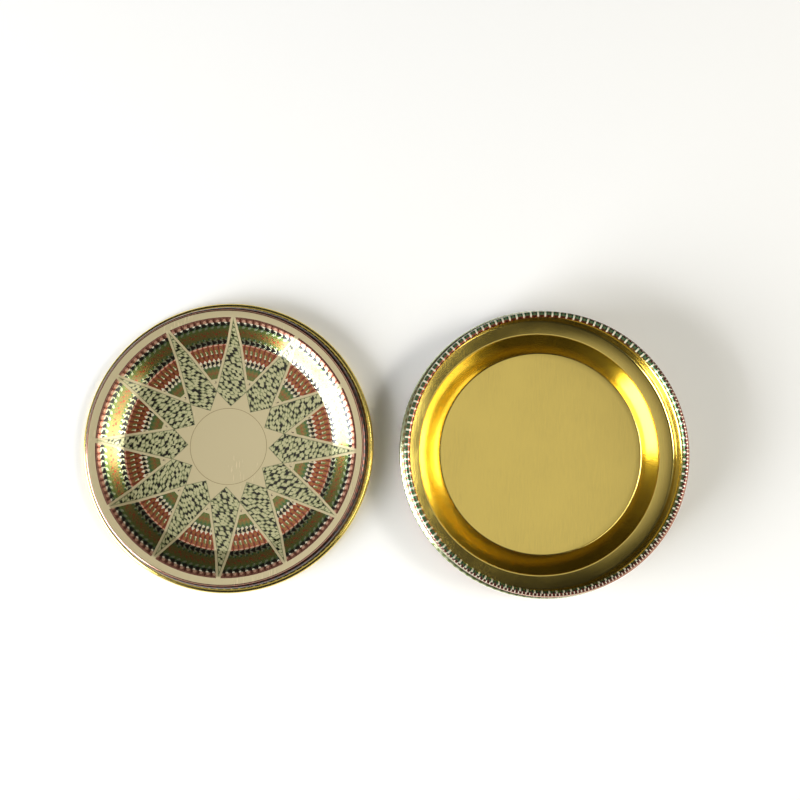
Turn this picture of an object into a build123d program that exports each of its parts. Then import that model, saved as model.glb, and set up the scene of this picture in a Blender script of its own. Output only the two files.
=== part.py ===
from build123d import *
from math import radians, tan
import os

os.makedirs("parts", exist_ok=True)

# A small round slip-lid tin in two drawn tinplate pieces: the open base and, beside it, its lid.
# Millimetres, Z up. Both stand on the table at Z = 0 and the origin is midway along the pair.
# Bends are drawn as short straight runs, which keeps the triangles of the turned shells few.

# Sheet and fits
sheet = 0.25             # tinplate thickness
slip_clearance = 0.3     # lid wall over the neck, on the radius
mouth_clearance = 0.75   # recess of the lid inside the curled mouth of the base
stop_clearance = 0.1     # foot of the closed lid above the bead
standing_gap = 6.0       # between the lid and the base where they lie on the table

# Base
base_radius = 31.9       # outside of the wall and neck
base_height = 11.2
base_curl = 1.45         # inward curl at the mouth, across the tube
bead_depth = 1.0         # how far the bead stands out from the wall
bead_height = 2.1        # over the whole bead, where it leaves the wall
bead_flank = 0.65        # height of each of its two slanting sides
base_corner = 0.55       # flat across the bottom corner, measured along the wall
foot_inset = 3.8         # from the outside of the wall in to the end of the flat foot ring
base_slope = 4.7         # from the foot ring in to the raised floor, on plan
floor_rise = 2.4         # underside of the floor above the table

# Lid
lid_height = 4.4
lid_curl = 1.65          # outward curl at the foot, across the tube
lid_corner = 0.35        # flat across the top corner, measured along the wall
lid_slope = 5.5          # from the top ring in to the sunk panel, on plan
recess_depth = 3.1       # panel below the top ring

# Both pieces
curl_sides = 6           # sides of each curl, after the wall that it grows from
curl_step = 45           # degrees from each side of a curl to the next

# Radii to the middle of the sheet, which each section is drawn along
half_sheet = sheet / 2
wall_line = base_radius - half_sheet
foot_inner = base_radius - foot_inset
floor_radius = foot_inner - base_slope

# The top ring of the lid lies on the curl of the base, its wall slips over the neck
# and its recess drops inside the mouth.
lid_line = base_radius + slip_clearance + half_sheet
lid_foot_radius = base_radius + slip_clearance + lid_curl
recess_radius = base_radius - base_curl - mouth_clearance
panel_radius = recess_radius - lid_slope

# The bead stops the closed lid just as its top ring reaches the curl.
bead_top = base_height + sheet - lid_height - stop_clearance
bead_bottom = bead_top - bead_height
bead_line = wall_line + bead_depth

# Each curl is an octagon whose first side is the wall and whose last side is left open.
lid_side = (lid_curl - sheet) * tan(radians(curl_step / 2))
base_side = (base_curl - sheet) * tan(radians(curl_step / 2))

# Heights of the middle of the sheet
panel_line = lid_height - recess_depth - half_sheet
ring_line = lid_height - half_sheet
floor_line = floor_rise + half_sheet

# The pair stands along X, with the middle of its whole length over the origin.
pair_length = 2 * lid_foot_radius + standing_gap + 2 * (base_radius + bead_depth)
lid_x = lid_foot_radius - pair_length / 2
base_x = pair_length / 2 - base_radius - bead_depth


def upright(x):
    """Plane through the axis of the piece that stands at x, drawn outwards and upwards."""
    return Plane(origin=(x, 0, 0), x_dir=(1, 0, 0), z_dir=(0, -1, 0))


# Lid: sunk panel, slope, top ring, wall and outward curl
with BuildPart() as lid:
    with BuildSketch(upright(lid_x)):
        with BuildLine():
            run = Polyline(
                (0, panel_line),
                (panel_radius, panel_line),
                (recess_radius, ring_line),
                (lid_line - lid_corner, ring_line),
                (lid_line, ring_line - lid_corner),
                (lid_line, lid_curl / 2 - lid_side / 2),
            )
            for side in range(1, curl_sides + 1):
                run = PolarLine(run @ 1, lid_side, angle=side * curl_step - 90)
        trace(line_width=sheet)
    revolve(axis=Axis((lid_x, 0, 0), (0, 0, 1)))

# Base: raised floor, slope, foot ring, wall, bead, neck and inward curl
with BuildPart() as base:
    with BuildSketch(upright(base_x)):
        with BuildLine():
            run = Polyline(
                (0, floor_line),
                (floor_radius, floor_line),
                (foot_inner, half_sheet),
                (wall_line - base_corner, half_sheet),
                (wall_line, half_sheet + base_corner),
                (wall_line, bead_bottom),
                (bead_line, bead_bottom + bead_flank),
                (bead_line, bead_top - bead_flank),
                (wall_line, bead_top),
                (wall_line, base_height - base_curl / 2 + base_side / 2),
            )
            for side in range(1, curl_sides + 1):
                run = PolarLine(run @ 1, base_side, angle=side * curl_step + 90)
        trace(line_width=sheet)
    revolve(axis=Axis((base_x, 0, 0), (0, 0, 1)))

lid.part.label = "lid"
export_step(lid.part, "parts/lid.step")
base.part.label = "base"
export_step(base.part, "parts/base.step")
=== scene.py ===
import math

import bpy
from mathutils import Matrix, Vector


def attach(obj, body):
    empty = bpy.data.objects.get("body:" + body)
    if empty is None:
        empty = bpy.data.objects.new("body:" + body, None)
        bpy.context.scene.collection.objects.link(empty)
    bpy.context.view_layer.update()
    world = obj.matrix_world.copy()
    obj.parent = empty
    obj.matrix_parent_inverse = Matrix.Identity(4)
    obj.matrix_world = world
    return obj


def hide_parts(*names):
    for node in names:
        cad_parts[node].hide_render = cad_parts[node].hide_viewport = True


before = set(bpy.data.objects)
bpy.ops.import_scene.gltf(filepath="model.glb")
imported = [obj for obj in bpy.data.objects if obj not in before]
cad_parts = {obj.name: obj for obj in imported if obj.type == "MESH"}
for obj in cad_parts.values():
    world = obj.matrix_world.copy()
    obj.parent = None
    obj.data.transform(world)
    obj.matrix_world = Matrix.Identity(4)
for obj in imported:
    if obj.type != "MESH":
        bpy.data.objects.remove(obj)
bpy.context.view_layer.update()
print("frame loaded:", sorted(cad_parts))

mm = 0.001

# sizes that the lid and the base share, in millimetres
tin = {
    "sheet": 0.25,
    "kneeBend": 0.9,       # bends at the two ends of each slope, middle of the sheet
    "curlTurn": 300,       # degrees of tube in each curl
    "bendStep": 7,         # degrees of bend between two points of the section
    "runStep": 1.4,        # longest straight piece of the section
    "edgeSteps": 6,        # steps round the raw edge of the sheet
    "segments": 320,       # steps round the axis
    "seamGap": 1e-7,       # metres; closes the seam and the poles
    "repeats": 120,        # repeats of the printed border round the tin
}

# colours of the inks and the varnish, linear, and how much of the metal shows through each
inks = {
    "cream": ((0.62, 0.535, 0.325), 0.22),
    "ivory": ((0.82, 0.76, 0.60), 0.30),
    "reed": ((0.58, 0.56, 0.32), 0.30),
    "mist": ((0.64, 0.68, 0.44), 0.90),
    "sage": ((0.29, 0.31, 0.15), 0.30),
    "fern": ((0.10, 0.13, 0.055), 0.35),
    "leaf": ((0.20, 0.27, 0.07), 0.82),
    "emerald": ((0.05, 0.18, 0.08), 0.80),
    "olive": ((0.32, 0.245, 0.07), 0.84),
    "tan": ((0.46, 0.23, 0.07), 0.88),
    "brick": ((0.46, 0.11, 0.04), 0.80),
    "rose": ((0.46, 0.20, 0.13), 0.75),
    "pink": ((0.70, 0.40, 0.28), 0.50),
    "maroon": ((0.15, 0.03, 0.018), 0.75),
    "black": ((0.012, 0.009, 0.006), 0.15),
    "gold": ((0.87, 0.68, 0.16), 1.00),
}

# the three finishes of a sheet, numbered in this order on its section
finishes = ("Left Finish", "Right Finish", "Edge Finish")


def walkSheet(height, steps):
    # section of a drawn sheet, walked from the axis outwards
    # each point is (radius, height, direction x, direction z, distance along the sheet)
    x, z, heading, along = 0.0, height, 0.0, 0.0
    points = [(x, z, 1.0, 0.0, 0.0)]
    for kind, amount, radius in steps:
        if kind == "run":
            count = max(1, math.ceil(amount / tin["runStep"]))
            for _ in range(count):
                x += math.cos(heading) * amount / count
                z += math.sin(heading) * amount / count
                along += amount / count
                points.append((x, z, math.cos(heading), math.sin(heading), along))
        else:
            count = max(2, math.ceil(abs(amount) / tin["bendStep"]))
            turn = math.radians(amount) / count
            chord = 2 * radius * math.sin(abs(turn) / 2)
            for _ in range(count):
                x += chord * math.cos(heading + turn / 2)
                z += chord * math.sin(heading + turn / 2)
                heading += turn
                along += radius * abs(turn)
                points.append((x, z, math.cos(heading), math.sin(heading), along))
    return points


def sheetOutline(points):
    # one closed outline round the sheet: left face out, round edge, right face back
    half = tin["sheet"] / 2
    left = [(x - dz * half, z + dx * half, along) for x, z, dx, dz, along in points]
    right = [(x + dz * half, z - dx * half, along) for x, z, dx, dz, along in points]
    x, z, dx, dz, along = points[-1]
    edge = []
    for step in range(1, tin["edgeSteps"]):
        a = math.radians(90 - 180 / tin["edgeSteps"] * step)
        edge.append((
            x + half * (math.cos(a) * dx - math.sin(a) * dz),
            z + half * (math.cos(a) * dz + math.sin(a) * dx),
            along,
        ))
    leftFinish, rightFinish, edgeFinish = range(len(finishes))
    finish = [leftFinish] * (len(left) - 1) + [edgeFinish] * tin["edgeSteps"]
    finish += [rightFinish] * (len(right) - 1)
    return left + edge + right[::-1], finish


def sectionMesh(name, outline, finish):
    mesh = bpy.data.meshes.new(name)
    edges = [(i, i + 1) for i in range(len(outline) - 1)]
    mesh.from_pydata([(x * mm, 0, z * mm) for x, z, along in outline], edges, [])
    alongLayer = mesh.attributes.new("along", "FLOAT", "POINT")
    alongLayer.data.foreach_set("value", [along for x, z, along in outline])
    finishLayer = mesh.attributes.new("finish", "INT", "EDGE")
    finishLayer.data.foreach_set("value", finish)
    return mesh


# helpers for the node trees
def addSocket(tree, name, kind, direction="INPUT", default=None):
    socket = tree.interface.new_socket(name, in_out=direction, socket_type="NodeSocket" + kind)
    if default is not None:
        socket.default_value = default


def feed(tree, socket, value):
    if isinstance(value, bpy.types.NodeSocket):
        tree.links.new(value, socket)
    elif value is not None:
        socket.default_value = value


def node(tree, kind, **settings):
    made = tree.nodes.new(kind)
    for name, value in settings.items():
        setattr(made, name, value)
    return made


def maths(tree, operation, first, second=None):
    made = node(tree, "ShaderNodeMath", operation=operation)
    for socket, value in zip(made.inputs, (first, second)):
        feed(tree, socket, value)
    return made.outputs[0]


def stored(tree, name, kind):
    made = node(tree, "GeometryNodeInputNamedAttribute", data_type=kind)
    made.inputs["Name"].default_value = name
    return made.outputs["Attribute"]


def buildTurnedSheet():
    # turns a section round its axis into one closed shell
    tree = bpy.data.node_groups.new("turnedSheet", "GeometryNodeTree")
    addSocket(tree, "Section", "Geometry")
    addSocket(tree, "Segments", "Int", default=360)
    addSocket(tree, "Axis Place", "Vector")
    addSocket(tree, "Waviness", "Float", default=0.0)
    addSocket(tree, "Wave Length", "Float", default=0.02)
    addSocket(tree, "Seed", "Float", default=0.0)
    for finish in finishes:
        addSocket(tree, finish, "Material")
    addSocket(tree, "Shell", "Geometry", "OUTPUT")
    link = tree.links.new
    given = node(tree, "NodeGroupInput")
    size = node(tree, "GeometryNodeAttributeDomainSize", component="MESH")
    link(given.outputs["Section"], size.inputs["Geometry"])
    rows = size.outputs["Point Count"]
    grid = node(tree, "GeometryNodeMeshGrid")
    grid.inputs["Size X"].default_value = 1
    grid.inputs["Size Y"].default_value = 1
    link(maths(tree, "ADD", given.outputs["Segments"], 1), grid.inputs["Vertices X"])
    link(rows, grid.inputs["Vertices Y"])

    # the grid's points run along the section first, then round the axis
    index = node(tree, "GeometryNodeInputIndex").outputs[0]
    row = maths(tree, "MODULO", index, rows)
    column = maths(tree, "FLOOR", maths(tree, "DIVIDE", index, rows))
    angle = maths(tree, "DIVIDE", maths(tree, "MULTIPLY", column, math.tau), given.outputs["Segments"])
    place = node(tree, "GeometryNodeInputPosition").outputs[0]
    pickPlace = node(tree, "GeometryNodeSampleIndex", data_type="FLOAT_VECTOR", domain="POINT")
    pickAlong = node(tree, "GeometryNodeSampleIndex", data_type="FLOAT", domain="POINT")
    pickFinish = node(tree, "GeometryNodeSampleIndex", data_type="INT", domain="EDGE")
    for pick in (pickPlace, pickAlong, pickFinish):
        link(given.outputs["Section"], pick.inputs["Geometry"])
    link(place, pickPlace.inputs["Value"])
    link(row, pickPlace.inputs["Index"])
    readAlong, readFinish = stored(tree, "along", "FLOAT"), stored(tree, "finish", "INT")
    link(readAlong, pickAlong.inputs["Value"])
    link(row, pickAlong.inputs["Index"])
    link(readFinish, pickFinish.inputs["Value"])
    faceRow = maths(tree, "MODULO", index, maths(tree, "SUBTRACT", rows, 1))
    link(faceRow, pickFinish.inputs["Index"])

    split = node(tree, "ShaderNodeSeparateXYZ")
    link(pickPlace.outputs["Value"], split.inputs[0])
    turned = node(tree, "ShaderNodeCombineXYZ")
    link(maths(tree, "MULTIPLY", split.outputs["X"], maths(tree, "COSINE", angle)), turned.inputs["X"])
    link(maths(tree, "MULTIPLY", split.outputs["X"], maths(tree, "SINE", angle)), turned.inputs["Y"])
    link(split.outputs["Z"], turned.inputs["Z"])
    centred = node(tree, "ShaderNodeVectorMath", operation="ADD")
    link(turned.outputs[0], centred.inputs[0])
    link(given.outputs["Axis Place"], centred.inputs[1])

    keepAlong = node(tree, "GeometryNodeStoreNamedAttribute", data_type="FLOAT", domain="POINT")
    keepAlong.inputs["Name"].default_value = "along"
    link(grid.outputs["Mesh"], keepAlong.inputs["Geometry"])
    link(pickAlong.outputs["Value"], keepAlong.inputs["Value"])
    keepFinish = node(tree, "GeometryNodeStoreNamedAttribute", data_type="INT", domain="FACE")
    keepFinish.inputs["Name"].default_value = "finish"
    link(keepAlong.outputs["Geometry"], keepFinish.inputs["Geometry"])
    link(pickFinish.outputs["Value"], keepFinish.inputs["Value"])
    shape = node(tree, "GeometryNodeSetPosition")
    link(keepFinish.outputs["Geometry"], shape.inputs["Geometry"])
    link(centred.outputs[0], shape.inputs["Position"])
    merge = node(tree, "GeometryNodeMergeByDistance")
    merge.inputs["Distance"].default_value = tin["seamGap"]
    link(shape.outputs["Geometry"], merge.inputs["Geometry"])
    outward = node(tree, "GeometryNodeFlipFaces")
    link(merge.outputs["Geometry"], outward.inputs["Mesh"])

    # pressed sheet is never quite true: both faces move together in long soft waves
    noise = node(tree, "ShaderNodeTexNoise", noise_dimensions="4D")
    noise.inputs["Detail"].default_value = 1
    link(maths(tree, "DIVIDE", 1, given.outputs["Wave Length"]), noise.inputs["Scale"])
    link(given.outputs["Seed"], noise.inputs["W"])
    middle = node(tree, "ShaderNodeVectorMath", operation="SUBTRACT")
    link(noise.outputs["Color"], middle.inputs[0])
    middle.inputs[1].default_value = (0.5, 0.5, 0.5)
    wave = node(tree, "ShaderNodeVectorMath", operation="SCALE")
    link(middle.outputs[0], wave.inputs[0])
    link(given.outputs["Waviness"], wave.inputs["Scale"])
    bend = node(tree, "GeometryNodeSetPosition")
    link(outward.outputs["Mesh"], bend.inputs["Geometry"])
    link(wave.outputs[0], bend.inputs["Offset"])

    smooth = node(tree, "GeometryNodeSetShadeSmooth", domain="FACE")
    link(bend.outputs["Geometry"], smooth.inputs["Geometry"])
    real = node(tree, "GeometryNodeRealizeInstances")
    link(smooth.outputs["Geometry"], real.inputs["Geometry"])
    last = real.outputs["Geometry"]
    for number, finish in enumerate(finishes):
        paint = node(tree, "GeometryNodeSetMaterial")
        link(last, paint.inputs["Geometry"])
        link(given.outputs[finish], paint.inputs["Material"])
        same = node(tree, "FunctionNodeCompare", data_type="INT", operation="EQUAL")
        whole = [s for s in same.inputs if s.type == "INT" and s.enabled]
        link(readFinish, whole[0])
        whole[1].default_value = number
        link(same.outputs[0], paint.inputs["Selection"])
        last = paint.outputs["Geometry"]
    result = node(tree, "NodeGroupOutput")
    link(last, result.inputs["Shell"])
    return tree


def turnSheet(name, points, sizes, leftMaterial, rightMaterial):
    outline, finish = sheetOutline(points)
    holder = bpy.data.objects.new(name + "Section", sectionMesh(name + "Section", outline, finish))
    bpy.context.scene.collection.objects.link(holder)
    modifier = holder.modifiers.new("turned", "NODES")
    modifier.node_group = turnedSheet
    byName = {s.name: s.identifier for s in turnedSheet.interface.items_tree if s.in_out == "INPUT"}
    for label, value in {
        "Segments": tin["segments"], "Axis Place": sizes["centre"], "Waviness": sizes["waviness"],
        "Wave Length": sizes["waveLength"], "Seed": sizes["seed"],
        "Left Finish": leftMaterial, "Right Finish": rightMaterial, "Edge Finish": cutEdge,
    }.items():
        modifier[byName[label]] = value
    bpy.context.view_layer.update()
    evaluated = holder.evaluated_get(bpy.context.evaluated_depsgraph_get())
    mesh = bpy.data.meshes.new_from_object(evaluated)
    mesh.name = name
    holder.modifiers.clear()
    bpy.data.objects.remove(holder)
    made = bpy.data.objects.new(name, mesh)
    bpy.context.scene.collection.objects.link(made)
    print(name, "vertices", len(mesh.vertices), "faces", len(mesh.polygons))
    return made


def shaderGroup(name, inputs, outputs):
    tree = bpy.data.node_groups.new(name, "ShaderNodeTree")
    for label, kind, default in inputs:
        addSocket(tree, label, kind, default=default)
    for label, kind in outputs:
        addSocket(tree, label, kind, "OUTPUT")
    return tree, node(tree, "NodeGroupInput"), node(tree, "NodeGroupOutput")


def buildBorderTurn():
    # counts the repeats clockwise round the axis, seen from above
    tree, given, result = shaderGroup(
        "borderTurn",
        [("Place", "Vector", None), ("Repeats", "Float", 120.0), ("Shift", "Float", 0.0)],
        [("Turn", "Float"), ("Step", "Float")],
    )
    split = node(tree, "ShaderNodeSeparateXYZ")
    tree.links.new(given.outputs["Place"], split.inputs[0])
    angle = maths(tree, "ARCTAN2", split.outputs["Y"], split.outputs["X"])
    turns = maths(tree, "MULTIPLY", maths(tree, "DIVIDE", angle, -math.tau), given.outputs["Repeats"])
    shifted = maths(tree, "ADD", turns, given.outputs["Shift"])
    tree.links.new(shifted, result.inputs["Turn"])
    tree.links.new(maths(tree, "FRACT", shifted), result.inputs["Step"])
    return tree


def buildBand():
    # where along the sheet a border band lies, and how far across it a point is
    tree, given, result = shaderGroup(
        "band",
        [("Along", "Float", 0.0), ("Start", "Float", 0.0), ("End", "Float", 1.0)],
        [("Inside", "Float"), ("Across", "Float")],
    )
    over = maths(tree, "GREATER_THAN", given.outputs["Along"], given.outputs["Start"])
    under = maths(tree, "LESS_THAN", given.outputs["Along"], given.outputs["End"])
    tree.links.new(maths(tree, "MULTIPLY", over, under), result.inputs["Inside"])
    spread = node(tree, "ShaderNodeMapRange")
    tree.links.new(given.outputs["Along"], spread.inputs["Value"])
    tree.links.new(given.outputs["Start"], spread.inputs["From Min"])
    tree.links.new(given.outputs["End"], spread.inputs["From Max"])
    tree.links.new(spread.outputs[0], result.inputs["Across"])
    return tree


def buildPointer():
    # a triangle in every repeat: its flat side lies radially and its point runs round the tin
    tree, given, result = shaderGroup(
        "pointer",
        [("Step", "Float", 0.0), ("Across", "Float", 0.0), ("Start", "Float", 0.0),
         ("Length", "Float", 1.0), ("Middle", "Float", 0.5), ("Height", "Float", 1.0)],
        [("Mask", "Float")],
    )
    along = maths(tree, "FRACT", maths(tree, "SUBTRACT", given.outputs["Step"], given.outputs["Start"]))
    share = maths(tree, "DIVIDE", along, given.outputs["Length"])
    reach = maths(tree, "MULTIPLY", maths(tree, "SUBTRACT", 1, share), given.outputs["Height"])
    off = maths(tree, "ABSOLUTE", maths(tree, "SUBTRACT", given.outputs["Across"], given.outputs["Middle"]))
    inside = maths(tree, "LESS_THAN", maths(tree, "MULTIPLY", off, 2), reach)
    tree.links.new(inside, result.inputs["Mask"])
    return tree


def buildTooth():
    # a triangle in every repeat that points across the band
    tree, given, result = shaderGroup(
        "tooth",
        [("Step", "Float", 0.0), ("Across", "Float", 0.0), ("Foot", "Float", 0.0),
         ("Tip", "Float", 1.0), ("Width", "Float", 1.0), ("Middle", "Float", 0.5)],
        [("Mask", "Float")],
    )
    share = node(tree, "ShaderNodeMapRange")
    tree.links.new(given.outputs["Across"], share.inputs["Value"])
    tree.links.new(given.outputs["Foot"], share.inputs["From Min"])
    tree.links.new(given.outputs["Tip"], share.inputs["From Max"])
    wide = maths(tree, "MULTIPLY", maths(tree, "SUBTRACT", 1, share.outputs[0]), given.outputs["Width"])
    moved = maths(tree, "SUBTRACT", maths(tree, "ADD", given.outputs["Step"], 0.5), given.outputs["Middle"])
    off = maths(tree, "ABSOLUTE", maths(tree, "SUBTRACT", maths(tree, "FRACT", moved), 0.5))
    tooth = maths(tree, "LESS_THAN", maths(tree, "MULTIPLY", off, 2), wide)
    # nothing before the foot, on whichever side of the tip it is
    side = maths(tree, "SUBTRACT", given.outputs["Tip"], given.outputs["Foot"])
    gone = maths(tree, "SUBTRACT", given.outputs["Across"], given.outputs["Foot"])
    past = maths(tree, "GREATER_THAN", maths(tree, "MULTIPLY", side, gone), 0)
    tree.links.new(maths(tree, "MULTIPLY", tooth, past), result.inputs["Mask"])
    return tree


def buildDot():
    # a round or oval dot in every repeat
    tree, given, result = shaderGroup(
        "dot",
        [("Step", "Float", 0.0), ("Across", "Float", 0.0), ("Start", "Float", 0.5),
         ("Middle", "Float", 0.5), ("Width", "Float", 0.5), ("Height", "Float", 0.5)],
        [("Mask", "Float")],
    )
    moved = maths(tree, "SUBTRACT", maths(tree, "ADD", given.outputs["Step"], 0.5), given.outputs["Start"])
    around = maths(tree, "SUBTRACT", maths(tree, "FRACT", moved), 0.5)
    across = maths(tree, "SUBTRACT", given.outputs["Across"], given.outputs["Middle"])
    wide = maths(tree, "DIVIDE", around, given.outputs["Width"])
    high = maths(tree, "DIVIDE", across, given.outputs["Height"])
    total = maths(tree, "ADD", maths(tree, "MULTIPLY", wide, wide), maths(tree, "MULTIPLY", high, high))
    tree.links.new(maths(tree, "LESS_THAN", total, 0.25), result.inputs["Mask"])
    return tree


def buildStar():
    # twelve kites on the lid: Edge is the distance in millimetres inside the nearest side
    tree, given, result = shaderGroup(
        "starKites",
        [("Turn", "Float", 0.0), ("Repeats", "Float", 120.0), ("Points", "Float", 12.0),
         ("Along", "Float", 0.0), ("Inner Tip", "Float", 9.4), ("Side", "Float", 13.1),
         ("Outer Tip", "Float", 30.0)],
        [("Edge", "Float"), ("Length", "Float"), ("Sideways", "Float"), ("Kite", "Float")],
    )
    step = maths(tree, "DIVIDE", maths(tree, "MULTIPLY", given.outputs["Turn"], given.outputs["Points"]),
                 given.outputs["Repeats"])
    kite = maths(tree, "ROUND", step)
    signed = maths(tree, "MULTIPLY", maths(tree, "SUBTRACT", step, kite),
                   maths(tree, "DIVIDE", math.tau, given.outputs["Points"]))
    px = maths(tree, "MULTIPLY", given.outputs["Along"], maths(tree, "COSINE", signed))
    sideways = maths(tree, "MULTIPLY", given.outputs["Along"], maths(tree, "SINE", signed))
    py = maths(tree, "ABSOLUTE", sideways)
    half = maths(tree, "DIVIDE", math.pi, given.outputs["Points"])
    cornerX = maths(tree, "MULTIPLY", given.outputs["Side"], maths(tree, "COSINE", half))
    cornerY = maths(tree, "MULTIPLY", given.outputs["Side"], maths(tree, "SINE", half))

    def beyond(tip, runX):
        # distance past the straight side between the corner and a tip on the middle line
        length = maths(tree, "SQRT", maths(tree, "ADD", maths(tree, "MULTIPLY", cornerY, cornerY),
                                           maths(tree, "MULTIPLY", runX, runX)))
        part = maths(tree, "MULTIPLY", maths(tree, "SUBTRACT", px, tip), cornerY)
        return part, length

    outRun = maths(tree, "SUBTRACT", given.outputs["Outer Tip"], cornerX)
    outPart, outLength = beyond(given.outputs["Outer Tip"], outRun)
    outTotal = maths(tree, "ADD", outPart, maths(tree, "MULTIPLY", py, outRun))
    outSide = maths(tree, "DIVIDE", outTotal, outLength)
    inRun = maths(tree, "SUBTRACT", cornerX, given.outputs["Inner Tip"])
    inPart, inLength = beyond(given.outputs["Inner Tip"], inRun)
    inTotal = maths(tree, "SUBTRACT", maths(tree, "MULTIPLY", py, inRun), inPart)
    inSide = maths(tree, "DIVIDE", inTotal, inLength)
    nearest = maths(tree, "MAXIMUM", outSide, inSide)
    tree.links.new(maths(tree, "MULTIPLY", nearest, -1), result.inputs["Edge"])
    tree.links.new(px, result.inputs["Length"])
    tree.links.new(sideways, result.inputs["Sideways"])
    tree.links.new(kite, result.inputs["Kite"])
    return tree


def buildMosaic():
    # slanted leaves in rows with dark wedges between them: Leaf is largest in the middle of a leaf
    tree, given, result = shaderGroup(
        "leafMosaic",
        [("Length", "Float", 0.0), ("Sideways", "Float", 0.0), ("Kite", "Float", 0.0),
         ("Lean", "Float", 0.5), ("Leaf Length", "Float", 1.3), ("Leaf Width", "Float", 0.8),
         ("Disorder", "Float", 0.5), ("Kite Shift", "Float", 1.0)],
        [("Leaf", "Float"), ("Tone", "Float")],
    )
    spot = node(tree, "ShaderNodeCombineXYZ")
    tree.links.new(given.outputs["Sideways"], spot.inputs["X"])
    tree.links.new(given.outputs["Length"], spot.inputs["Y"])
    lean = node(tree, "ShaderNodeVectorRotate", rotation_type="Z_AXIS")
    tree.links.new(spot.outputs[0], lean.inputs["Vector"])
    tree.links.new(given.outputs["Lean"], lean.inputs["Angle"])
    parts = node(tree, "ShaderNodeSeparateXYZ")
    tree.links.new(lean.outputs[0], parts.inputs[0])
    shift = maths(tree, "MULTIPLY", given.outputs["Kite"], given.outputs["Kite Shift"])
    leaves = maths(tree, "DIVIDE", parts.outputs["X"], given.outputs["Leaf Length"])
    grid = node(tree, "ShaderNodeCombineXYZ")
    tree.links.new(maths(tree, "ADD", leaves, shift), grid.inputs["X"])
    tree.links.new(maths(tree, "DIVIDE", parts.outputs["Y"], given.outputs["Leaf Width"]), grid.inputs["Y"])
    cells = node(tree, "ShaderNodeTexVoronoi", voronoi_dimensions="2D", distance="MANHATTAN", feature="F1")
    cells.inputs["Scale"].default_value = 1.0
    tree.links.new(given.outputs["Disorder"], cells.inputs["Randomness"])
    tree.links.new(grid.outputs[0], cells.inputs["Vector"])
    tree.links.new(maths(tree, "SUBTRACT", 1, cells.outputs["Distance"]), result.inputs["Leaf"])
    tone = node(tree, "ShaderNodeSeparateColor")
    tree.links.new(cells.outputs["Color"], tone.inputs[0])
    tree.links.new(tone.outputs[0], result.inputs["Tone"])
    return tree


def buildWear():
    # fine scuffs and handling marks, as a mask from 0 to 1
    tree, given, result = shaderGroup(
        "handlingMarks",
        [("Place", "Vector", None), ("Amount", "Float", 0.5),
         ("Grain", "Float", 4000.0), ("Stretch", "Float", 12.0)],
        [("Marks", "Float"), ("Height", "Float")],
    )
    squeeze = node(tree, "ShaderNodeCombineXYZ")
    squeeze.inputs["X"].default_value = 1
    squeeze.inputs["Z"].default_value = 1
    tree.links.new(maths(tree, "DIVIDE", 1, given.outputs["Stretch"]), squeeze.inputs["Y"])
    drawn = node(tree, "ShaderNodeVectorMath", operation="MULTIPLY")
    tree.links.new(given.outputs["Place"], drawn.inputs[0])
    tree.links.new(squeeze.outputs[0], drawn.inputs[1])
    fine = node(tree, "ShaderNodeTexNoise")
    fine.inputs["Detail"].default_value = 3
    tree.links.new(drawn.outputs[0], fine.inputs["Vector"])
    tree.links.new(given.outputs["Grain"], fine.inputs["Scale"])
    broad = node(tree, "ShaderNodeTexNoise")
    broad.inputs["Scale"].default_value = 90     # patches of about a centimetre
    broad.inputs["Detail"].default_value = 2
    tree.links.new(given.outputs["Place"], broad.inputs["Vector"])
    both = maths(tree, "MULTIPLY", fine.outputs[0], broad.outputs[0])
    tree.links.new(maths(tree, "MULTIPLY", both, given.outputs["Amount"]), result.inputs["Marks"])
    tree.links.new(fine.outputs[0], result.inputs["Height"])
    return tree


def useGroup(tree, group, **inputs):
    placed = node(tree, "ShaderNodeGroup")
    placed.node_tree = group
    for label, value in inputs.items():
        wanted = label.lower()
        socket = next(s for s in placed.inputs if s.name.replace(" ", "").lower() == wanted)
        feed(tree, socket, value)
    return placed


def mixColour(tree, share, first, second):
    mix = node(tree, "ShaderNodeMix", data_type="RGBA")
    feed(tree, mix.inputs[0], share)
    for socket, value in ((mix.inputs[6], first), (mix.inputs[7], second)):
        feed(tree, socket, value if isinstance(value, bpy.types.NodeSocket) else (*value, 1))
    return mix.outputs[2]


def mixValue(tree, share, first, second):
    mix = node(tree, "ShaderNodeMix", data_type="FLOAT")
    for socket, value in zip(mix.inputs[:4], (share, None, first, second)):
        feed(tree, socket, value)
    return mix.outputs[0]


def startMaterial(name):
    material = bpy.data.materials.new(name)
    material.use_nodes = True
    tree = material.node_tree
    shader = next(n for n in tree.nodes if n.type == "BSDF_PRINCIPLED")
    return material, tree, shader


def centredPlace(tree, centre):
    place = node(tree, "ShaderNodeTexCoord")
    mapping = node(tree, "ShaderNodeMapping")
    mapping.inputs["Location"].default_value = [-c for c in centre]
    tree.links.new(place.outputs["Object"], mapping.inputs["Vector"])
    return mapping.outputs[0]


markGroups = {}


def layInk(tree, mask, painted, ink):
    # painted is (colour, share of bare metal)
    colour, metal = painted
    return mixColour(tree, mask, colour, inks[ink][0]), mixValue(tree, mask, metal, inks[ink][1])


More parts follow.
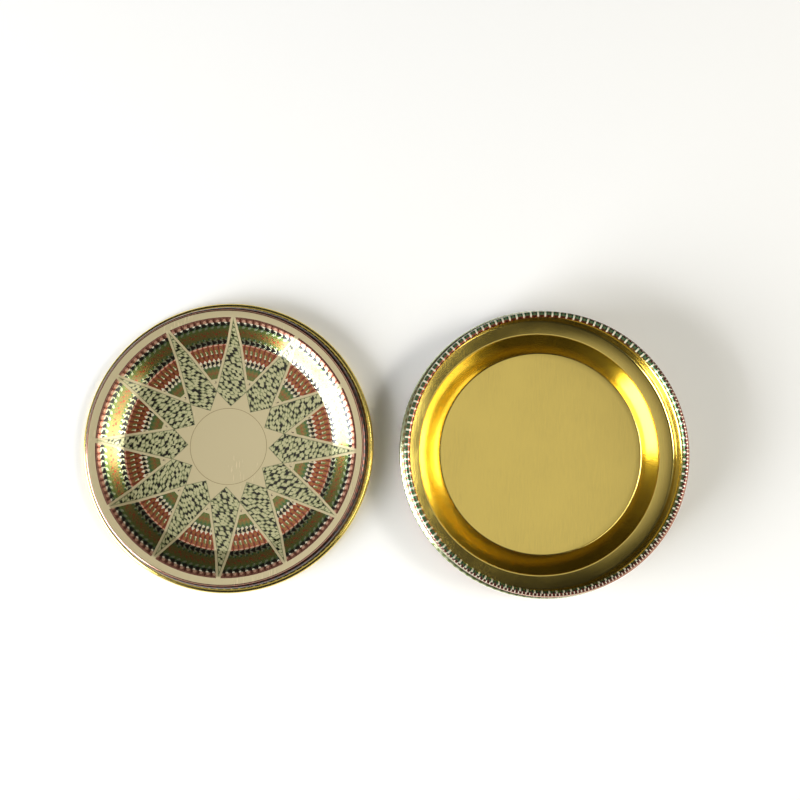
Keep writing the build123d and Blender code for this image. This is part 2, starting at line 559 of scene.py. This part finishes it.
def paintBands(tree, along, turns, ground, bands):
    # each band lies over what is below it; a band with no ground holds marks alone
    painted = inks[ground] if isinstance(ground, str) else ground
    for start, end, ink, marks in bands:
        strip = useGroup(tree, markGroups["band"], along=along, start=start, end=end)
        inside, across = strip.outputs["Inside"], strip.outputs["Across"]
        if ink:
            painted = layInk(tree, inside, painted, ink)
        for markInk, kind, sizes in marks:
            sizes = dict(sizes)
            step = turns.outputs["Step"]
            if "every" in sizes:
                often = maths(tree, "MULTIPLY", turns.outputs["Turn"], sizes.pop("every"))
                step = maths(tree, "FRACT", often)
            if "lean" in sizes:
                slant = maths(tree, "MULTIPLY", across, sizes.pop("lean"))
                step = maths(tree, "FRACT", maths(tree, "ADD", step, slant))
            mark = useGroup(tree, markGroups[kind], step=step, across=across, **sizes)
            painted = layInk(tree, maths(tree, "MULTIPLY", inside, mark.outputs["Mask"]), painted, markInk)
    return painted


# a band runs between two distances along the sheet, in millimetres from the middle, and has a
# ground ink, or none, and marks that come once in every repeat, sized in shares of it and of the band
def band(start, end, ground, *marks):
    return start, end, ground, marks


def dot(ink, start, middle, width, height, **more):
    # lean slants it across the band, and every changes how often it comes
    return ink, "dot", {"start": start, "middle": middle, "width": width, "height": height, **more}


def pointer(ink, start, length, middle, height):
    return ink, "pointer", {"start": start, "length": length, "middle": middle, "height": height}


def tooth(ink, foot, tip, width, middle):
    return ink, "tooth", {"foot": foot, "tip": tip, "width": width, "middle": middle}


lidPrint = {
    "discRadius": 8.96,
    "discLine": 0.14,
    "innerTip": 9.45,
    "side": 13.3,
    "outerTip": 30.2,
    "kiteBorder": 0.62,
    "borderEnd": 31.5,      # the border of the kites stops here, along the sheet
    "heart": 12.901,        # plain cream inside this, along each kite
    "outline": 0.09,        # half the width of the line round each kite
    "outlineInk": 0.6,
    "discInk": 0.5,
    "leafLean": 0.55,       # radians
    "leafLength": 1.15,
    "leafWidth": 0.70,
    "leafDisorder": 0.75,
    "kiteShift": 7.31,      # leaves that the mosaic moves on from one kite to the next
    "leafRim": 0.29,        # a leaf is fern above this, sage above the next, and reed above the heart
    "leafCore": 0.35,
    "leafHeart": 0.40,
    "leafTone": 0.25,       # how much the heart's limit changes from leaf to leaf
    "starTurn": -0.33,      # the whole print sits a little askew, in repeats
    "bands": [
        band(13.9, 16.15, "cream"),
        band(14.45, 15.6, None,
             pointer("black", 0.1, 0.85, 0.5, 1.1)),
        band(16.15, 17.05, "leaf",
             dot("olive", 0.3, 0.6, 0.5, 0.6)),
        band(17.05, 17.95, "olive",
             dot("brick", 0.5, 0.4, 0.36, 0.5),
             dot("tan", 0.0, 0.7, 0.5, 0.5)),
        band(17.95, 18.95, "leaf",
             dot("emerald", 0.5, 0.65, 0.55, 0.4),
             dot("olive", 0.0, 0.25, 0.6, 0.5)),
        band(18.9, 19.4, "fern",
             tooth("ivory", 1.0, 0.0, 0.9, 0.7)),
        band(19.35, 20.4, "cream",
             pointer("black", 0.0, 0.95, 0.5, 1.35)),
        band(20.35, 21.0, "brick",
             tooth("ivory", 0.0, 1.0, 0.75, 0.75)),
        band(21.0, 21.95, "brick",
             dot("tan", 0.25, 0.35, 0.5, 0.5),
             dot("maroon", 0.75, 0.6, 0.35, 0.8)),
        band(21.95, 22.95, "olive",
             dot("brick", 0.1, 0.5, 0.42, 2.0, lean=0.15),
             dot("leaf", 0.75, 0.6, 0.3, 1.0, lean=0.15),
             dot("ivory", 0.5, 0.18, 0.32, 0.34),
             dot("cream", 0.52, 0.6, 0.14, 1.1, lean=0.15)),
        band(22.95, 23.9, "brick",
             dot("tan", 0.5, 0.4, 0.4, 0.9, lean=0.15),
             dot("maroon", 0.0, 0.5, 0.22, 1.4)),
        band(23.85, 24.3, "brick",
             dot("pink", 0.5, 0.5, 0.7, 1.1)),
        band(24.25, 25.5, "mist",
             dot("olive", 0.1, 1.0, 0.7, 0.5),
             pointer("black", 0.0, 0.95, 0.45, 1.25)),
        band(25.5, 28.3, "leaf",
             dot("olive", 0.5, 0.5, 2.5, 0.78),
             dot("mist", 0.85, 0.06, 0.3, 0.16),
             dot("emerald", 0.6, 0.12, 0.3, 0.18),
             dot("leaf", 0.2, 0.5, 0.2, 2.0, lean=0.5),
             dot("tan", 0.1, 0.38, 0.34, 0.16),
             dot("brick", 0.65, 0.64, 0.34, 0.16),
             dot("brick", 0.5, 0.48, 0.26, 0.18, every=0.5),
             dot("tan", 0.0, 0.56, 0.2, 0.14, every=0.5)),
        band(28.15, 28.85, "leaf",
             dot("mist", 0.45, 0.5, 0.5, 0.95, lean=-0.3)),
        band(28.75, 29.8, "mist",
             dot("emerald", 0.5, 0.0, 1.2, 0.5),
             dot("ivory", 0.8, 0.85, 0.4, 0.6),
             pointer("black", 0.0, 0.95, 0.42, 1.25)),
        band(29.7, 30.62, "rose",
             dot("pink", 0.6, 0.3, 0.5, 0.8),
             dot("maroon", 0.05, 0.5, 0.18, 2.0)),
        band(30.6, 30.78, "maroon"),
    ],
    "offCentre": 0.2,       # how far the corner bands sit from the true circle, and towards which angle
    "offAngle": 0.0,
    "cornerBands": [
        band(32.25, 32.42, "maroon"),
        # the pale pink line along the corner's crest is a painted highlight
        band(32.42, 32.56, "pink"),
        band(32.56, 34.2, "black",
             dot("maroon", 0.5, 0.2, 0.6, 0.3),
             dot("maroon", 0.5, 0.7, 0.5, 0.4)),
        band(34.2, 35.2, "emerald",
             dot("ivory", 0.5, 0.5, 0.28, 2.0)),
        band(35.2, 36.2, "maroon"),
    ],
}

basePrint = {
    "offCentre": 0.55,      # how far the print sits from the true circle, and towards which angle
    "offAngle": math.radians(140),
    "bands": [
        band(32.0, 33.4, "brick",
             dot("maroon", 0.0, 0.5, 0.3, 2.0),
             dot("pink", 0.5, 0.62, 0.5, 0.5)),
        band(33.4, 34.5, "mist",
             dot("emerald", 0.5, 0.0, 1.2, 0.6),
             pointer("black", 0.0, 0.95, 0.5, 1.25)),
        band(34.5, 36.9, "leaf",
             dot("olive", 0.5, 0.5, 2.5, 0.75),
             dot("tan", 0.1, 0.4, 0.34, 0.2),
             dot("brick", 0.6, 0.6, 0.38, 0.22),
             dot("ivory", 0.85, 0.08, 0.3, 0.12)),
        band(36.9, 37.3, "maroon"),
        band(37.3, 40.1, "mist",
             dot("leaf", 0.5, 0.3, 0.5, 0.3),
             dot("olive", 0.0, 0.7, 0.6, 0.3)),
        band(40.1, 40.3, "maroon"),
        band(40.3, 42.3, "olive",
             dot("leaf", 0.5, 0.5, 0.5, 0.6)),
        band(42.3, 42.8, "pink"),
        band(42.75, 43.35, "maroon",
             dot("ivory", 0.5, 0.45, 0.3, 0.9, every=2.0)),
        band(43.3, 44.1, "emerald",
             dot("fern", 0.1, 0.5, 0.3, 1.6),
             dot("maroon", 0.1, 0.1, 0.3, 0.5),
             dot("ivory", 0.6, 0.5, 0.26, 2.0)),
        band(44.1, 44.75, "brick",
             dot("maroon", 0.1, 0.5, 0.42, 2.0),
             dot("ivory", 0.6, 0.1, 0.26, 1.2)),
        band(44.75, 60.0, "gold"),
    ],
}


def printPlace(tree, centre, shift=0.0):
    # where a point lies on the piece: its place, its repeat and its distance along the sheet
    place = centredPlace(tree, centre)
    turns = useGroup(tree, markGroups["borderTurn"], place=place, repeats=float(tin["repeats"]), shift=shift)
    along = node(tree, "ShaderNodeAttribute", attribute_name="along").outputs["Fac"]
    return place, turns, along


def slipPrint(tree, along, turns, settings):
    # the print sits a little to one side of the true circle
    angle = maths(tree, "MULTIPLY", turns.outputs["Turn"], -math.tau / tin["repeats"])
    off = maths(tree, "COSINE", maths(tree, "SUBTRACT", angle, settings["offAngle"]))
    return maths(tree, "ADD", along, maths(tree, "MULTIPLY", off, settings["offCentre"]))


def buildPrintedLid(centre):
    material, tree, shader = startMaterial("printedLid")
    place, turns, along = printPlace(tree, centre, lidPrint["starTurn"])
    painted = paintBands(tree, along, turns, "cream", lidPrint["bands"])

    # the star lies over the bands, with a mosaic of small leaves inside a plain border
    star = useGroup(tree, markGroups["star"], turn=turns.outputs["Turn"], repeats=float(tin["repeats"]),
                    along=along, innertip=lidPrint["innerTip"], side=lidPrint["side"],
                    outertip=lidPrint["outerTip"])
    edge = star.outputs["Edge"]
    border = maths(tree, "MULTIPLY", maths(tree, "GREATER_THAN", edge, -lidPrint["kiteBorder"]),
                   maths(tree, "LESS_THAN", along, lidPrint["borderEnd"]))
    heart = maths(tree, "LESS_THAN", star.outputs["Length"], lidPrint["heart"])
    painted = layInk(tree, maths(tree, "MAXIMUM", border, heart), painted, "cream")
    field = maths(tree, "GREATER_THAN", edge, 0.0)
    mosaic = useGroup(tree, markGroups["mosaic"], length=star.outputs["Length"],
                      sideways=star.outputs["Sideways"], kite=star.outputs["Kite"],
                      lean=lidPrint["leafLean"], leaflength=lidPrint["leafLength"],
                      leafwidth=lidPrint["leafWidth"], disorder=lidPrint["leafDisorder"],
                      kiteshift=lidPrint["kiteShift"])
    painted = layInk(tree, field, painted, "black")
    tone = maths(tree, "MULTIPLY", mosaic.outputs["Tone"], lidPrint["leafTone"])
    heartLimit = maths(tree, "ADD", tone, lidPrint["leafHeart"])
    for limit, ink in ((lidPrint["leafRim"], "fern"), (lidPrint["leafCore"], "sage"), (heartLimit, "reed")):
        shown = maths(tree, "GREATER_THAN", mosaic.outputs["Leaf"], limit)
        painted = layInk(tree, maths(tree, "MULTIPLY", field, shown), painted, ink)

    # fine outlines round the kites and the disc
    line = maths(tree, "LESS_THAN", maths(tree, "ABSOLUTE", edge), lidPrint["outline"])
    painted = layInk(tree, maths(tree, "MULTIPLY", line, lidPrint["outlineInk"]), painted, "fern")
    ring = useGroup(tree, markGroups["band"], along=along,
                    start=lidPrint["discRadius"] - lidPrint["discLine"], end=lidPrint["discRadius"])
    discRing = maths(tree, "MULTIPLY", ring.outputs["Inside"], lidPrint["discInk"])
    painted = layInk(tree, discRing, painted, "olive")

    slipped = slipPrint(tree, along, turns, lidPrint)
    painted = paintBands(tree, slipped, turns, painted, lidPrint["cornerBands"])
    varnishPrint(tree, shader, place, painted)
    return material


def buildPrintedBase(centre):
    material, tree, shader = startMaterial("printedBase")
    place, turns, along = printPlace(tree, centre)
    slipped = slipPrint(tree, along, turns, basePrint)
    painted = paintBands(tree, slipped, turns, "cream", basePrint["bands"])
    varnishPrint(tree, shader, place, painted)
    return material


def roughen(tree, shader, marks, settings):
    # the handling marks dull the surface and give it a fine grain
    rough = maths(tree, "ADD", marks.outputs["Marks"], settings["roughness"])
    tree.links.new(rough, shader.inputs["Roughness"])
    bump = node(tree, "ShaderNodeBump")
    bump.inputs["Strength"].default_value = settings["bump"]
    bump.inputs["Distance"].default_value = settings["bumpDepth"]
    tree.links.new(marks.outputs["Height"], bump.inputs["Height"])
    tree.links.new(bump.outputs[0], shader.inputs["Normal"])


varnish = {
    "marks": 0.3, "roughness": 0.15, "bump": 0.02, "bumpDepth": 0.00002,
    "specular": 0.15, "coat": 0.9, "coatRoughness": 0.07,
}


def varnishPrint(tree, shader, place, painted):
    marks = useGroup(tree, markGroups["marks"], place=place, amount=varnish["marks"])
    tree.links.new(painted[0], shader.inputs["Base Color"])
    tree.links.new(painted[1], shader.inputs["Metallic"])
    shader.inputs["Specular IOR Level"].default_value = varnish["specular"]
    shader.inputs["Coat Weight"].default_value = varnish["coat"]
    shader.inputs["Coat Roughness"].default_value = varnish["coatRoughness"]
    roughen(tree, shader, marks, varnish)


lacquer = {
    "marks": 0.3, "roughness": 0.11, "bump": 0.04, "bumpDepth": 0.00002,
    "grain": 5200.0, "stretch": 16.0, "worn": (0.80, 0.64, 0.17), "coat": 1.0, "coatRoughness": 0.1,
}


def buildGoldLacquer():
    material, tree, shader = startMaterial("goldLacquer")
    place = centredPlace(tree, (0, 0, 0))
    marks = useGroup(tree, markGroups["marks"], place=place, amount=lacquer["marks"], grain=lacquer["grain"],
                     stretch=lacquer["stretch"])
    tone = mixColour(tree, marks.outputs["Marks"], inks["gold"][0], lacquer["worn"])
    tree.links.new(tone, shader.inputs["Base Color"])
    shader.inputs["Metallic"].default_value = 1.0
    shader.inputs["Coat Weight"].default_value = lacquer["coat"]
    shader.inputs["Coat Roughness"].default_value = lacquer["coatRoughness"]
    roughen(tree, shader, marks, lacquer)
    return material


bareSteel = {"marks": 0.5, "bright": (0.55, 0.54, 0.52), "dull": (0.30, 0.29, 0.28), "roughness": 0.42}


def buildCutEdge():
    material, tree, shader = startMaterial("cutEdge")
    place = centredPlace(tree, (0, 0, 0))
    marks = useGroup(tree, markGroups["marks"], place=place, amount=bareSteel["marks"])
    tone = mixColour(tree, marks.outputs["Marks"], bareSteel["bright"], bareSteel["dull"])
    tree.links.new(tone, shader.inputs["Base Color"])
    shader.inputs["Metallic"].default_value = 1.0
    shader.inputs["Roughness"].default_value = bareSteel["roughness"]
    return material


markGroups.update({
    "borderTurn": buildBorderTurn(),
    "band": buildBand(),
    "pointer": buildPointer(),
    "tooth": buildTooth(),
    "dot": buildDot(),
    "star": buildStar(),
    "mosaic": buildMosaic(),
    "marks": buildWear(),
})
turnedSheet = buildTurnedSheet()
goldLacquer = buildGoldLacquer()
cutEdge = buildCutEdge()
print("node groups built")


# millimetres, but metres for the centres and the waves
lidSizes = {
    "height": 4.4, "curl": 1.65, "bend": 1.0, "slope": 5.5, "recess": 3.1,
    "recessRadius": 29.7, "wallLine": 32.325, "centre": (-0.0359, 0, 0),
    "waviness": 0.00002, "waveLength": 0.016, "seed": 3.0,
}


def buildLid():
    half = tin["sheet"] / 2
    sizes = lidSizes
    knee = tin["kneeBend"]
    bend = sizes["bend"] - half
    slopeTurn = math.degrees(math.atan2(sizes["recess"], sizes["slope"]))
    tangent = knee * math.tan(math.radians(slopeTurn / 2))
    steps = [
        ("run", sizes["recessRadius"] - sizes["slope"] - tangent, 0),
        ("bend", slopeTurn, knee),
        ("run", math.hypot(sizes["slope"], sizes["recess"]) - 2 * tangent, 0),
        ("bend", -slopeTurn, knee),
        ("run", sizes["wallLine"] - sizes["recessRadius"] - tangent - bend, 0),
        ("bend", -90, bend),
        ("run", sizes["height"] - half - bend - sizes["curl"] / 2, 0),
        ("bend", tin["curlTurn"], sizes["curl"] / 2 - half),
    ]
    points = walkSheet(sizes["height"] - sizes["recess"] - half, steps)
    shell = turnSheet("printedLidShell", points, sizes, buildPrintedLid(sizes["centre"]), goldLacquer)
    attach(shell, "lid")
    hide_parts("lid")


baseSizes = {
    "radius": 31.9, "height": 11.2, "curl": 1.45, "beadDepth": 1.0, "beadHeight": 2.8, "beadTop": 7.3,
    "bend": 1.05, "footInner": 28.1, "slope": 4.7, "floorRise": 2.4, "centre": (0.03685, 0, 0),
    "footTilt": 15,          # degrees that the foot rises outwards
    "waviness": 0.00002, "waveLength": 0.018, "seed": 11.0,
}


def buildBase():
    half = tin["sheet"] / 2
    sizes = baseSizes
    knee = tin["kneeBend"]
    bend = sizes["bend"] - half
    slopeTurn = math.degrees(math.atan2(sizes["floorRise"], sizes["slope"]))
    tangent = knee * math.tan(math.radians(slopeTurn / 2))
    tilt = math.radians(sizes["footTilt"])
    footRun = sizes["radius"] - half - sizes["footInner"] - tangent - knee * math.sin(tilt)
    footRun = (footRun - bend * (1 - math.sin(tilt))) / math.cos(tilt)
    wallFoot = half + knee * (1 - math.cos(tilt)) + footRun * math.sin(tilt) + bend * math.cos(tilt)
    quarter = sizes["beadHeight"] / 4
    beadRadius = (sizes["beadDepth"] ** 2 / 4 + quarter ** 2) / sizes["beadDepth"]
    beadTurn = math.degrees(math.asin(quarter / beadRadius))
    beadBottom = sizes["beadTop"] - sizes["beadHeight"]
    steps = [
        ("run", sizes["footInner"] - sizes["slope"] - tangent, 0),
        ("bend", -slopeTurn, knee),
        ("run", math.hypot(sizes["slope"], sizes["floorRise"]) - 2 * tangent, 0),
        ("bend", slopeTurn + sizes["footTilt"], knee),
        ("run", footRun, 0),
        ("bend", 90 - sizes["footTilt"], bend),
        ("run", beadBottom - wallFoot, 0),
        ("bend", -beadTurn, beadRadius),
        ("bend", 2 * beadTurn, beadRadius),
        ("bend", -beadTurn, beadRadius),
        ("run", sizes["height"] - sizes["curl"] / 2 - sizes["beadTop"], 0),
        ("bend", tin["curlTurn"], sizes["curl"] / 2 - half),
    ]
    points = walkSheet(sizes["floorRise"] + half, steps)
    shell = turnSheet("goldBaseShell", points, sizes, goldLacquer, buildPrintedBase(sizes["centre"]))
    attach(shell, "base")
    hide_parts("base")


buildLid()
buildBase()


stage = {
    "floorSize": 3.0, "floorDrop": 0.00002, "floorColour": (0.86, 0.855, 0.84),
    "floorSeen": (1.10, 1.11, 1.13),    # the floor's colour for the camera and in the metal
    "floorRoughness": 0.9,
    "fade": (0.16, 0.40),    # metres from the middle where the floor turns plain white
    "roomColour": (1, 0.95, 0.87),
    "roomLevel": 0.03,       # the dim room in front and behind
    # the bright part of the ceiling, over the tin: direction, strength, and where it ends and is full
    "ceiling": (0.04, 0.0, 1.0), "ceilingLevel": 0.68, "ceilingFrom": 0.94, "ceilingTo": 0.98,
    "glows": [
        # direction, strength, tightness
        ((-0.78, 0.07, 0.63), 0.25, 20.0),
        ((0.88, 0.32, 0.34), 0.5, 16.0),
    ],
}


def buildFloor():
    mesh = bpy.data.meshes.new("tableTop")
    s = stage["floorSize"] / 2
    mesh.from_pydata([(-s, -s, 0), (s, -s, 0), (s, s, 0), (-s, s, 0)], [], [(0, 1, 2, 3)])
    floor = bpy.data.objects.new("tableTop", mesh)
    floor.location = (0, 0, -stage["floorDrop"])
    bpy.context.scene.collection.objects.link(floor)
    material, tree, shader = startMaterial("whitePaper")
    ray = node(tree, "ShaderNodeLightPath")
    seen = maths(tree, "MAXIMUM", ray.outputs["Is Camera Ray"],
                 maths(tree, "MAXIMUM", ray.outputs["Is Glossy Ray"], ray.outputs["Is Transmission Ray"]))
    place = node(tree, "ShaderNodeTexCoord").outputs["Object"]
    away = node(tree, "ShaderNodeVectorMath", operation="LENGTH")
    tree.links.new(place, away.inputs[0])
    far = node(tree, "ShaderNodeMapRange", interpolation_type="SMOOTHSTEP")
    tree.links.new(away.outputs["Value"], far.inputs["Value"])
    far.inputs["From Min"].default_value, far.inputs["From Max"].default_value = stage["fade"]
    gone = maths(tree, "MULTIPLY", far.outputs[0], seen)
    colour = mixColour(tree, seen, stage["floorColour"], stage["floorSeen"])
    tree.links.new(mixColour(tree, gone, colour, (0, 0, 0)), shader.inputs["Base Color"])
    tree.links.new(mixColour(tree, gone, (0, 0, 0), (1, 1, 1)), shader.inputs["Emission Color"])
    shader.inputs["Emission Strength"].default_value = 1.0
    shader.inputs["Roughness"].default_value = stage["floorRoughness"]
    shader.inputs["Specular IOR Level"].default_value = 0.0
    floor.data.materials.append(material)


def buildSky():
    world = bpy.data.worlds.new("softRoom")
    bpy.context.scene.world = world
    world.use_nodes = True
    tree = world.node_tree
    background = next(n for n in tree.nodes if n.type == "BACKGROUND")
    place = node(tree, "ShaderNodeTexCoord").outputs["Generated"]

    def nearness(direction):
        near = node(tree, "ShaderNodeVectorMath", operation="DOT_PRODUCT")
        tree.links.new(place, near.inputs[0])
        near.inputs[1].default_value = Vector(direction).normalized()
        return near.outputs["Value"]

    rise = node(tree, "ShaderNodeMapRange", interpolation_type="SMOOTHSTEP")
    tree.links.new(nearness(stage["ceiling"]), rise.inputs["Value"])
    rise.inputs["From Min"].default_value = stage["ceilingFrom"]
    rise.inputs["From Max"].default_value = stage["ceilingTo"]
    rise.inputs["To Min"].default_value = stage["roomLevel"]
    rise.inputs["To Max"].default_value = stage["ceilingLevel"]
    total = rise.outputs[0]
    for direction, strength, tightness in stage["glows"]:
        spread = maths(tree, "POWER", maths(tree, "MAXIMUM", nearness(direction), 0.0), tightness)
        total = maths(tree, "ADD", total, maths(tree, "MULTIPLY", spread, strength))
    ray = node(tree, "ShaderNodeLightPath")
    seen = ray.outputs["Is Camera Ray"]
    tree.links.new(mixValue(tree, seen, total, 1.0), background.inputs["Strength"])
    tree.links.new(mixColour(tree, seen, stage["roomColour"], (1, 1, 1)), background.inputs["Color"])


lamps = [
    # name, place, width, height, power, colour; each faces the middle of the pair
    ("windowLeft", (-0.70, -0.30, 0.22), 0.62, 0.44, 11.2, (0.98, 0.99, 1)),
    ("windowGlare", (-0.52, -0.42, 0.44), 0.20, 0.15, 0.8, (1, 1, 1)),
    ("lampGlare", (0.55, 0.02, 0.58), 0.24, 0.16, 1.5, (1, 0.98, 0.92)),
    ("windowRight", (0.54, -0.12, 0.57), 0.68, 0.28, 1.9, (1, 0.94, 0.76)),
]


def buildLamps():
    for name, place, width, height, power, colour in lamps:
        light = bpy.data.lights.new(name, "AREA")
        light.shape = "RECTANGLE"
        light.size = width
        light.size_y = height
        light.energy = power
        light.color = colour
        lamp = bpy.data.objects.new(name, light)
        lamp.location = place
        lamp.rotation_euler = (-Vector(place)).to_track_quat("-Z", "Y").to_euler()
        bpy.context.scene.collection.objects.link(lamp)


view = {
    "place": (0.00285, -0.0069, 0.2024),
    "turn": (5.295, -0.412, 1.266),    # degrees; nearly straight down
    "lens": 38.7,
    "sensor": 36,
    "nearest": 0.005,
}


def buildCamera():
    camera = bpy.data.cameras.new("overhead")
    camera.lens = view["lens"]
    camera.sensor_width = view["sensor"]
    camera.clip_start = view["nearest"]
    holder = bpy.data.objects.new("overhead", camera)
    holder.location = view["place"]
    holder.rotation_euler = [math.radians(a) for a in view["turn"]]
    bpy.context.scene.collection.objects.link(holder)
    bpy.context.scene.camera = holder


buildFloor()
buildSky()
buildLamps()
buildCamera()
bpy.context.scene.view_settings.view_transform = "Standard"
print("floor, light and camera ready")
